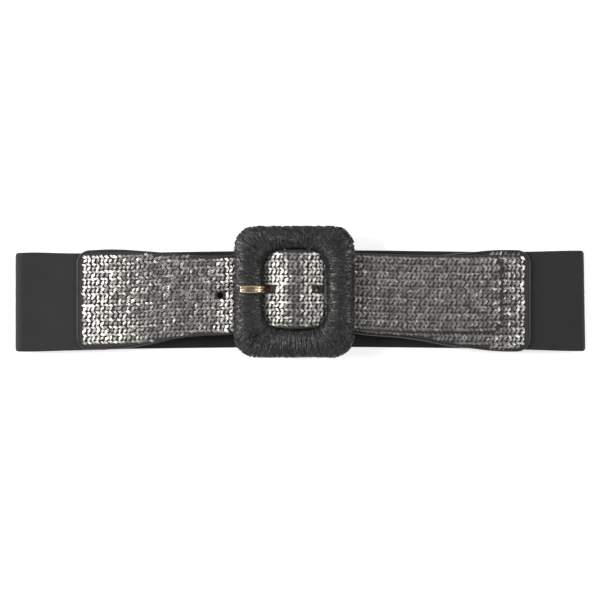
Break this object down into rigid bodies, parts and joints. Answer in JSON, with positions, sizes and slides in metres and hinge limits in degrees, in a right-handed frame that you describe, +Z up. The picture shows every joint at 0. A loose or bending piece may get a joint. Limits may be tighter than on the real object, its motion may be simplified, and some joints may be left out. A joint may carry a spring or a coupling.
{
  "type": "elastic stretch belt",
  "caption": "Wide elastic waist belt, fastened and lying flat, with knitted metallic facings on its leather ends and a raffia-wrapped frame buckle with a prong.",
  "frame": {"origin": "on the resting surface, midway between the two folds of the flattened loop and under the middle of the buckle", "axes": "+Z up, out of the belt's face; +X along the belt from the strap's wide end towards its tip; +Y across the belt"},
  "size_m": [0.3527, 0.08, 0.0317],
  "materials": {
    "elastic": "matt ribbed black elastic",
    "leather": "black, semi-matt, with painted edges",
    "metallic_knit": "knitted silver metallic straw, glittering",
    "raffia": "black raffia yarn, wound close, satin glints",
    "steel": "plain rod",
    "brass": "polished pale gold"
  },
  "bodies": {
    "root": {"elastic_band": "elastic", "strap_backing": "leather", "strap_facing": "metallic_knit", "tab_backing": "leather", "tab_facing": "metallic_knit", "buckle_frame": "raffia", "centre_bar": "steel", "prong": "brass"}
  },
  "joints": []
}
